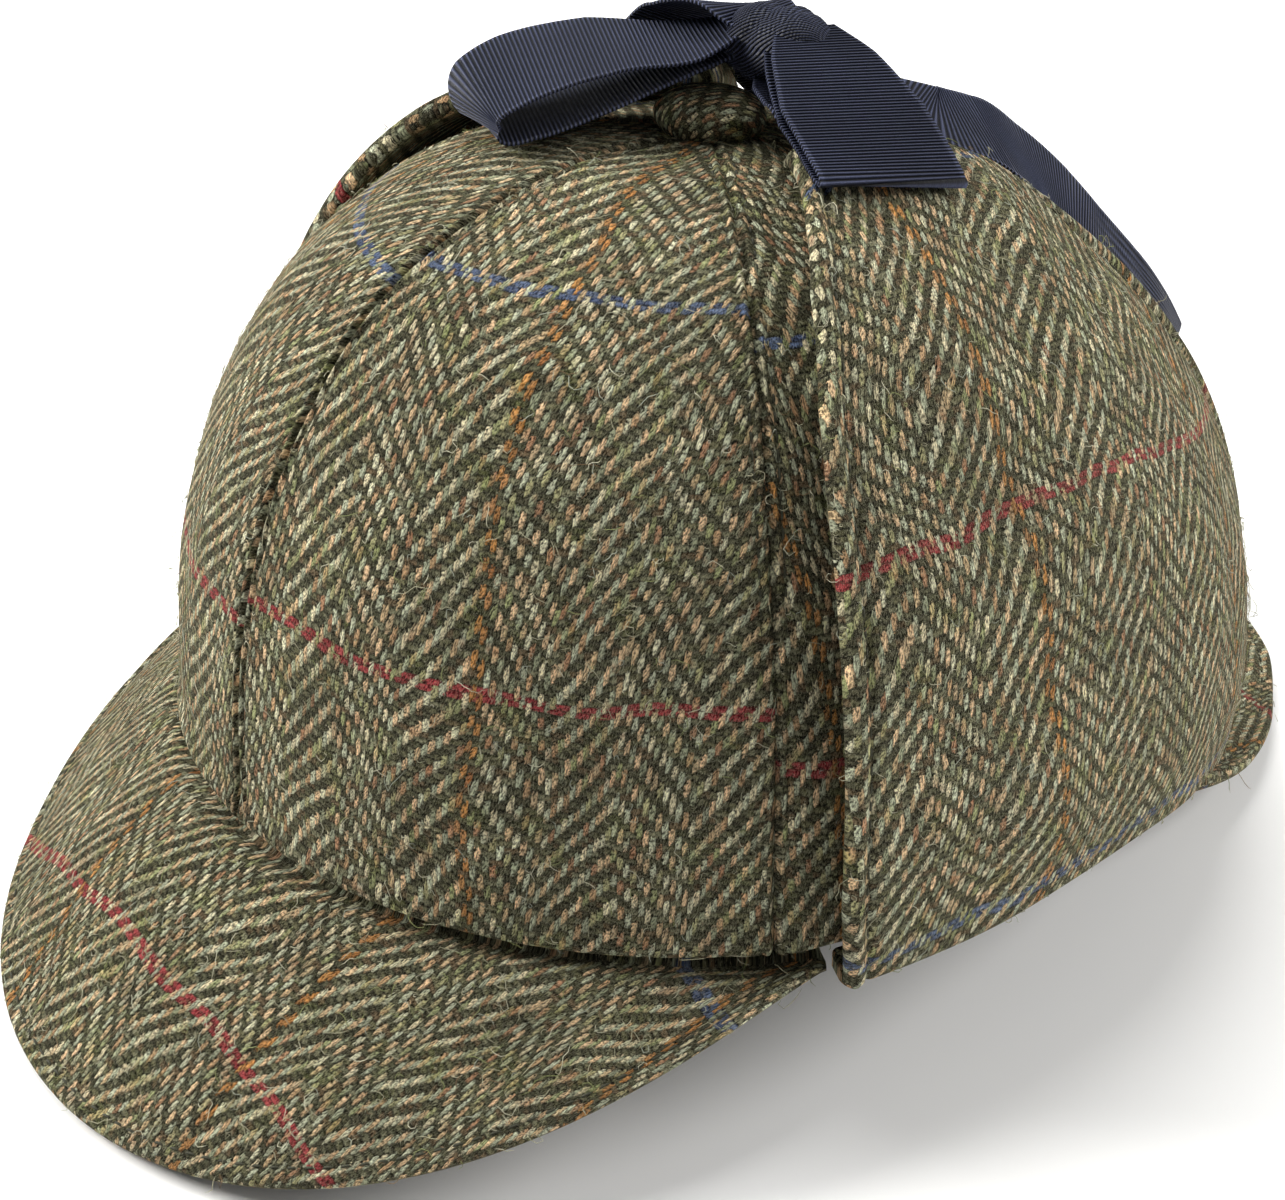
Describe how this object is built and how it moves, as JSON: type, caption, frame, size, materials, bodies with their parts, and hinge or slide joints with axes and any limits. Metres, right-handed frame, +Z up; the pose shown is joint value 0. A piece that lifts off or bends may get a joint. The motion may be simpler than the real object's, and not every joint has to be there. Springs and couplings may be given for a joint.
{
  "type": "deerstalker hat",
  "caption": "Tweed cap with a panelled round crown, a covered button, front and rear peaks, and ear flaps turned up and tied on top with a ribbon bow.",
  "frame": {"origin": "middle of the hat's outline seen from above, on the surface that the two peaks rest on", "axes": "+Z up, -Y towards the wearer's front, +X towards the wearer's left"},
  "size_m": [0.195, 0.2732, 0.1521],
  "materials": {
    "tweed": "brushed wool tweed in a green, brown and grey herringbone with a fine overcheck, topstitched",
    "ribbon": "ribbed navy grosgrain ribbon with plain selvedges"
  },
  "bodies": {
    "root": {"crown_panel_1": "tweed", "crown_panel_2": "tweed", "crown_panel_3": "tweed", "crown_panel_4": "tweed", "crown_panel_5": "tweed", "crown_panel_6": "tweed", "crown_button": "tweed", "front_peak": "tweed", "rear_peak": "tweed", "ear_flap_left": "tweed", "ear_flap_right": "tweed", "bow_knot": "ribbon", "bow_loop_front": "ribbon", "bow_loop_side": "ribbon", "tie_strap_left": "ribbon", "tie_strap_right": "ribbon", "bow_tail_left": "ribbon", "bow_tail_right": "ribbon"}
  },
  "joints": []
}
